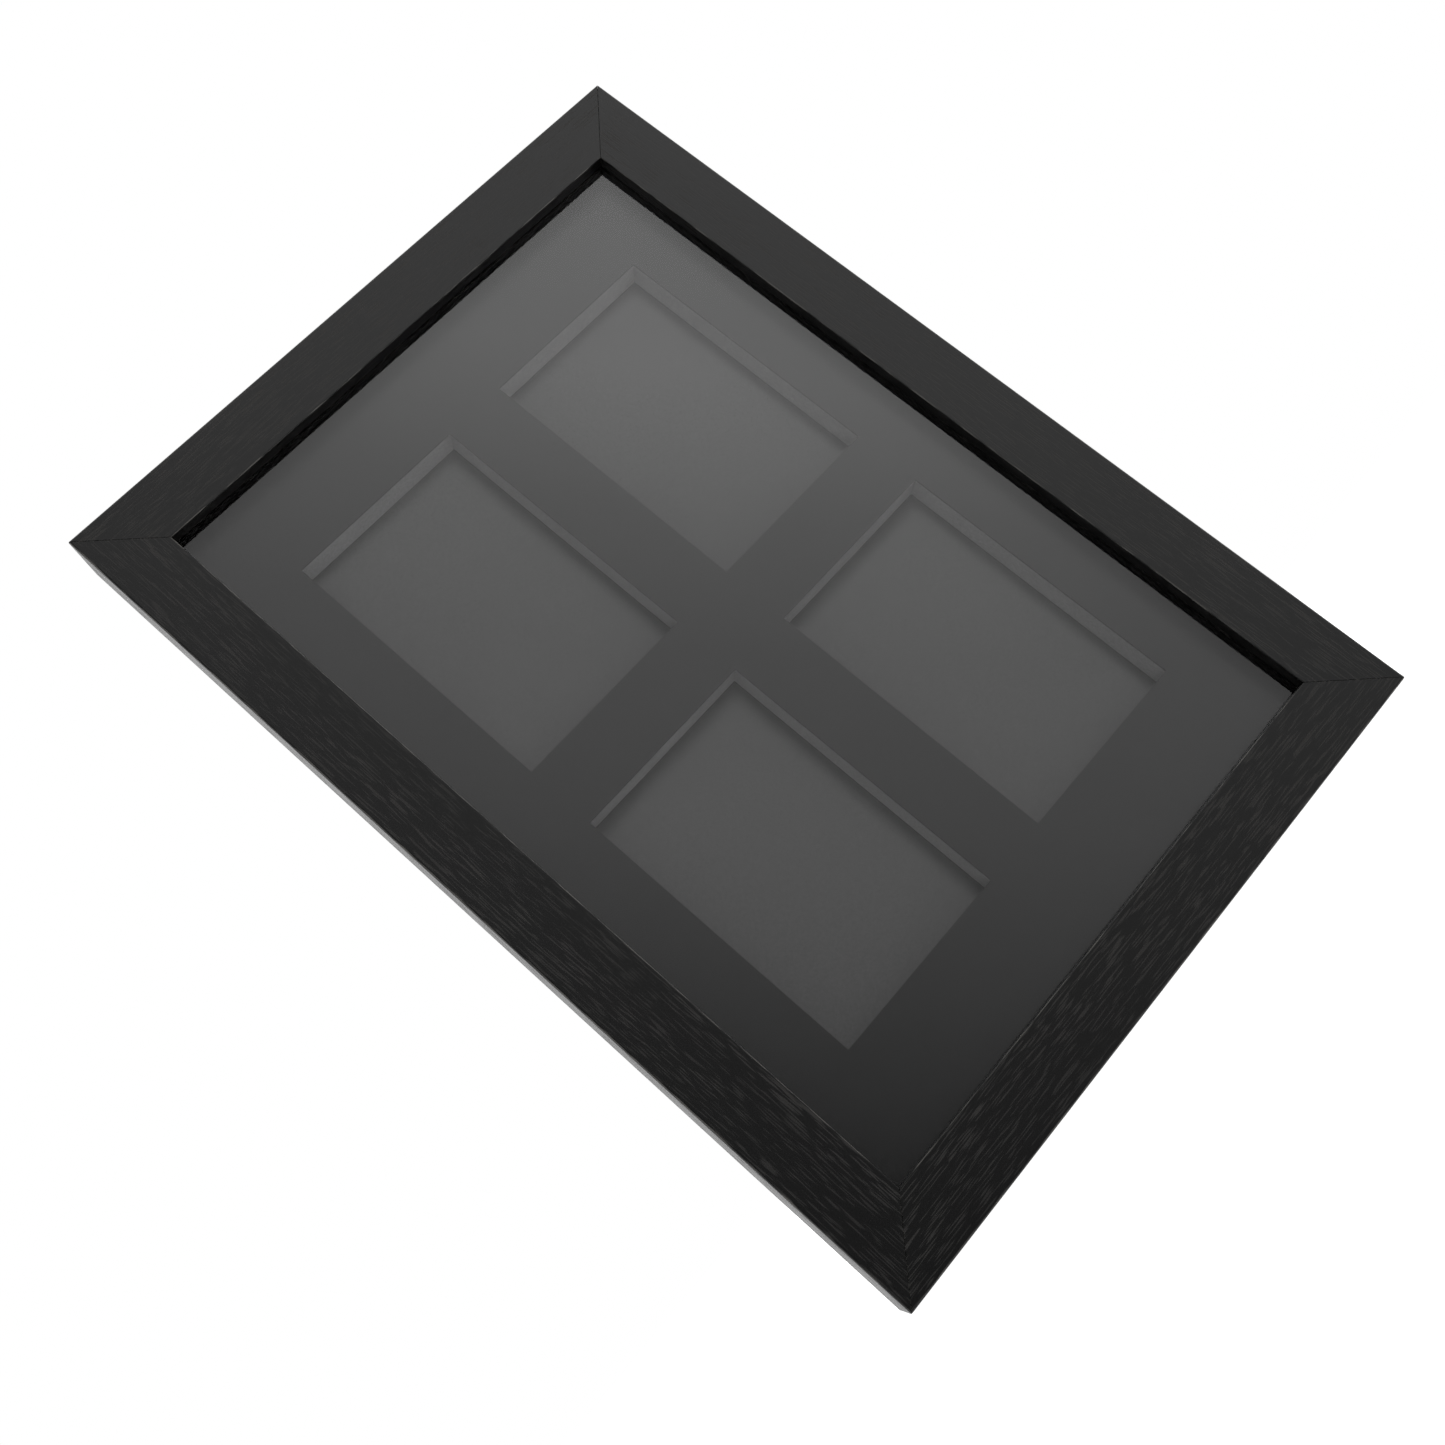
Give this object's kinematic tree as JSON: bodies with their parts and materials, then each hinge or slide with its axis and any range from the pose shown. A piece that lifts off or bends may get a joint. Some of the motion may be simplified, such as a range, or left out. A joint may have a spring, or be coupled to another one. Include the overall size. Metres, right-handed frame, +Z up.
{
  "type": "shadow box",
  "caption": "Black-stained wooden shadow box with clear glazing, a foam insert with rectangular windows, and a back board held by turn buttons.",
  "frame": {"origin": "under the middle of the box, on the surface that its lower short rail stands on", "axes": "+X to the right as the glazing is faced, +Y to the back, +Z up along the long sides"},
  "size_m": [0.3, 0.033, 0.42],
  "materials": {
    "black_ash": "black stain under satin lacquer, open grain",
    "acrylic": "clear, polished",
    "spacer_strip": "matt",
    "face_paper": "matt black",
    "foam": "cut closed-cell foam, matt",
    "felt": "short-napped felt",
    "fibreboard": "smooth medium-density fibreboard",
    "black_steel": "blackened steel sheet",
    "zinc_steel": "bright zinc plate",
    "brassed_steel": "brass plate on steel",
    "bumper_rubber": "matt moulded"
  },
  "bodies": {
    "frame": {"rail_top": "black_ash", "rail_bottom": "black_ash", "rail_left": "black_ash", "rail_right": "black_ash", "glazing": "acrylic", "spacer_top": "spacer_strip", "spacer_bottom": "spacer_strip", "spacer_left": "spacer_strip", "spacer_right": "spacer_strip", "insert_face": "face_paper", "insert_core": "foam", "floor_pad": "felt", "back_board": "fibreboard", "v_nail_top_left_outer": "zinc_steel", "v_nail_top_left_inner": "zinc_steel", "v_nail_top_right_outer": "zinc_steel", "v_nail_top_right_inner": "zinc_steel", "v_nail_bottom_left_outer": "zinc_steel", "v_nail_bottom_left_inner": "zinc_steel", "v_nail_bottom_right_outer": "zinc_steel", "v_nail_bottom_right_inner": "zinc_steel", "turn_button_screw_top_a": "zinc_steel", "turn_button_screw_top_b": "zinc_steel", "turn_button_screw_bottom_a": "zinc_steel", "turn_button_screw_bottom_b": "zinc_steel", "turn_button_screw_left_a": "zinc_steel", "turn_button_screw_left_b": "zinc_steel", "turn_button_screw_right_a": "zinc_steel", "turn_button_screw_right_b": "zinc_steel", "sawtooth_hanger_top": "brassed_steel", "sawtooth_hanger_right": "brassed_steel", "hanger_nail_top_a": "brassed_steel", "hanger_nail_top_b": "brassed_steel", "hanger_nail_right_a": "brassed_steel", "hanger_nail_right_b": "brassed_steel", "bumper_left_a": "bumper_rubber", "bumper_left_b": "bumper_rubber", "bumper_right_a": "bumper_rubber", "bumper_right_b": "bumper_rubber"},
    "button_top_a": {"turn_button_top_a": "black_steel"},
    "button_top_b": {"turn_button_top_b": "black_steel"},
    "button_bottom_a": {"turn_button_bottom_a": "black_steel"},
    "button_bottom_b": {"turn_button_bottom_b": "black_steel"},
    "button_left_a": {"turn_button_left_a": "black_steel"},
    "button_left_b": {"turn_button_left_b": "black_steel"},
    "button_right_a": {"turn_button_right_a": "black_steel"},
    "button_right_b": {"turn_button_right_b": "black_steel"}
  },
  "joints": [
    {"name": "swivel_top_a", "type": "hinge", "parent": "frame", "child": "button_top_a", "pos_m": [-0.075, 0.0143, 0.409], "axis": [0, 1, 0], "continuous": true},
    {"name": "swivel_top_b", "type": "hinge", "parent": "frame", "child": "button_top_b", "pos_m": [0.075, 0.0143, 0.409], "axis": [0, 1, 0], "continuous": true},
    {"name": "swivel_bottom_a", "type": "hinge", "parent": "frame", "child": "button_bottom_a", "pos_m": [0.075, 0.0143, 0.011], "axis": [0, 1, 0], "continuous": true},
    {"name": "swivel_bottom_b", "type": "hinge", "parent": "frame", "child": "button_bottom_b", "pos_m": [-0.075, 0.0143, 0.011], "axis": [0, 1, 0], "continuous": true},
    {"name": "swivel_left_a", "type": "hinge", "parent": "frame", "child": "button_left_a", "pos_m": [-0.139, 0.0143, 0.105], "axis": [0, 1, 0], "continuous": true},
    {"name": "swivel_left_b", "type": "hinge", "parent": "frame", "child": "button_left_b", "pos_m": [-0.139, 0.0143, 0.315], "axis": [0, 1, 0], "continuous": true},
    {"name": "swivel_right_a", "type": "hinge", "parent": "frame", "child": "button_right_a", "pos_m": [0.139, 0.0143, 0.315], "axis": [0, 1, 0], "continuous": true},
    {"name": "swivel_right_b", "type": "hinge", "parent": "frame", "child": "button_right_b", "pos_m": [0.139, 0.0143, 0.105], "axis": [0, 1, 0], "continuous": true}
  ]
}
